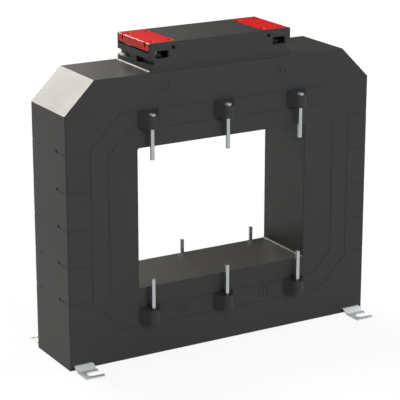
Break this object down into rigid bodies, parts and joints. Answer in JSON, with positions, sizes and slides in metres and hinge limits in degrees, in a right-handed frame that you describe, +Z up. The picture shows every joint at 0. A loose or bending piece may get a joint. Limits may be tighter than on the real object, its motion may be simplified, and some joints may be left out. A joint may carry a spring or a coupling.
{
  "type": "current transformer",
  "caption": "Window type current transformer: black moulded ring housing with clamp screws round a rectangular window, a terminal box with red hinged covers, and slotted metal feet.",
  "frame": {"origin": "on the surface that the housing stands on, below the middle of the housing", "axes": "+X across the window, +Y through the window from the front to the rear, +Z up"},
  "size_m": [0.24, 0.091, 0.2188],
  "materials": {
    "housing_plastic": "fine spark-eroded black",
    "cover_plastic": "red, semi gloss",
    "foot_steel": "zinc plated sheet",
    "clamp_screw_steel": "zinc plated, threaded",
    "terminal_screw_steel": "nickel plated",
    "terminal_brass": "nickel plated brass",
    "pin_steel": "black oxide wire",
    "core_steel": "wound silicon steel strip",
    "case_plastic": "natural",
    "winding_copper": "enamelled copper wire",
    "lead_insulation": "insulated wire"
  },
  "bodies": {
    "housing": {"front_shell": "housing_plastic", "rear_shell": "housing_plastic", "terminal_housing": "housing_plastic", "core_case_front": "case_plastic", "core_case_rear": "case_plastic", "core": "core_steel", "winding_left": "winding_copper", "winding_right": "winding_copper", "winding_top": "winding_copper", "winding_bottom": "winding_copper", "left_lead": "lead_insulation", "right_lead": "lead_insulation", "left_hinge_pin": "pin_steel", "right_hinge_pin": "pin_steel", "left_terminal_bar": "terminal_brass", "right_terminal_bar": "terminal_brass", "front_clamp_nuts": "clamp_screw_steel", "rear_clamp_nuts": "clamp_screw_steel", "foot_front_left": "foot_steel", "foot_front_right": "foot_steel", "foot_rear_left": "foot_steel", "foot_rear_right": "foot_steel"},
    "clamp_screw_front_top_left_body": {"clamp_screw_front_top_left": "clamp_screw_steel"},
    "clamp_screw_front_top_middle_body": {"clamp_screw_front_top_middle": "clamp_screw_steel"},
    "clamp_screw_front_top_right_body": {"clamp_screw_front_top_right": "clamp_screw_steel"},
    "clamp_screw_front_bottom_left_body": {"clamp_screw_front_bottom_left": "clamp_screw_steel"},
    "clamp_screw_front_bottom_middle_body": {"clamp_screw_front_bottom_middle": "clamp_screw_steel"},
    "clamp_screw_front_bottom_right_body": {"clamp_screw_front_bottom_right": "clamp_screw_steel"},
    "clamp_screw_rear_top_left_body": {"clamp_screw_rear_top_left": "clamp_screw_steel"},
    "clamp_screw_rear_top_middle_body": {"clamp_screw_rear_top_middle": "clamp_screw_steel"},
    "clamp_screw_rear_top_right_body": {"clamp_screw_rear_top_right": "clamp_screw_steel"},
    "clamp_screw_rear_bottom_left_body": {"clamp_screw_rear_bottom_left": "clamp_screw_steel"},
    "clamp_screw_rear_bottom_middle_body": {"clamp_screw_rear_bottom_middle": "clamp_screw_steel"},
    "clamp_screw_rear_bottom_right_body": {"clamp_screw_rear_bottom_right": "clamp_screw_steel"},
    "terminal_screw_left_front_body": {"terminal_screw_left_front": "terminal_screw_steel", "clamp_washer_left_front": "terminal_brass"},
    "terminal_screw_left_rear_body": {"terminal_screw_left_rear": "terminal_screw_steel", "clamp_washer_left_rear": "terminal_brass"},
    "terminal_screw_right_front_body": {"terminal_screw_right_front": "terminal_screw_steel", "clamp_washer_right_front": "terminal_brass"},
    "terminal_screw_right_rear_body": {"terminal_screw_right_rear": "terminal_screw_steel", "clamp_washer_right_rear": "terminal_brass"},
    "left_terminal_cover_body": {"left_terminal_cover": "cover_plastic"},
    "right_terminal_cover_body": {"right_terminal_cover": "cover_plastic"}
  },
  "joints": [
    {"name": "clamp_screw_front_top_left_travel", "type": "slide", "parent": "housing", "child": "clamp_screw_front_top_left_body", "axis": [0, 0, 1], "range_m": [0, 0.022]},
    {"name": "clamp_screw_front_top_middle_travel", "type": "slide", "parent": "housing", "child": "clamp_screw_front_top_middle_body", "axis": [0, 0, 1], "range_m": [0, 0.022]},
    {"name": "clamp_screw_front_top_right_travel", "type": "slide", "parent": "housing", "child": "clamp_screw_front_top_right_body", "axis": [0, 0, 1], "range_m": [0, 0.022]},
    {"name": "clamp_screw_front_bottom_left_travel", "type": "slide", "parent": "housing", "child": "clamp_screw_front_bottom_left_body", "axis": [0, 0, -1], "range_m": [0, 0.022]},
    {"name": "clamp_screw_front_bottom_middle_travel", "type": "slide", "parent": "housing", "child": "clamp_screw_front_bottom_middle_body", "axis": [0, 0, -1], "range_m": [0, 0.022]},
    {"name": "clamp_screw_front_bottom_right_travel", "type": "slide", "parent": "housing", "child": "clamp_screw_front_bottom_right_body", "axis": [0, 0, -1], "range_m": [0, 0.022]},
    {"name": "clamp_screw_rear_top_left_travel", "type": "slide", "parent": "housing", "child": "clamp_screw_rear_top_left_body", "axis": [0, 0, 1], "range_m": [0, 0.022]},
    {"name": "clamp_screw_rear_top_middle_travel", "type": "slide", "parent": "housing", "child": "clamp_screw_rear_top_middle_body", "axis": [0, 0, 1], "range_m": [0, 0.022]},
    {"name": "clamp_screw_rear_top_right_travel", "type": "slide", "parent": "housing", "child": "clamp_screw_rear_top_right_body", "axis": [0, 0, 1], "range_m": [0, 0.022]},
    {"name": "clamp_screw_rear_bottom_left_travel", "type": "slide", "parent": "housing", "child": "clamp_screw_rear_bottom_left_body", "axis": [0, 0, -1], "range_m": [0, 0.022]},
    {"name": "clamp_screw_rear_bottom_middle_travel", "type": "slide", "parent": "housing", "child": "clamp_screw_rear_bottom_middle_body", "axis": [0, 0, -1], "range_m": [0, 0.022]},
    {"name": "clamp_screw_rear_bottom_right_travel", "type": "slide", "parent": "housing", "child": "clamp_screw_rear_bottom_right_body", "axis": [0, 0, -1], "range_m": [0, 0.022]},
    {"name": "terminal_screw_left_front_travel", "type": "slide", "parent": "housing", "child": "terminal_screw_left_front_body", "axis": [0, 0, 1], "range_m": [0, 0.003]},
    {"name": "terminal_screw_left_rear_travel", "type": "slide", "parent": "housing", "child": "terminal_screw_left_rear_body", "axis": [0, 0, 1], "range_m": [0, 0.003]},
    {"name": "terminal_screw_right_front_travel", "type": "slide", "parent": "housing", "child": "terminal_screw_right_front_body", "axis": [0, 0, 1], "range_m": [0, 0.003]},
    {"name": "terminal_screw_right_rear_travel", "type": "slide", "parent": "housing", "child": "terminal_screw_right_rear_body", "axis": [0, 0, 1], "range_m": [0, 0.003]},
    {"name": "left_cover_hinge", "type": "hinge", "parent": "housing", "child": "left_terminal_cover_body", "pos_m": [-0.0376, 0, 0.215], "axis": [0, 1, 0], "range_deg": [0, 85]},
    {"name": "right_cover_hinge", "type": "hinge", "parent": "housing", "child": "right_terminal_cover_body", "pos_m": [0.0376, 0, 0.215], "axis": [0, -1, 0], "range_deg": [0, 85]}
  ]
}
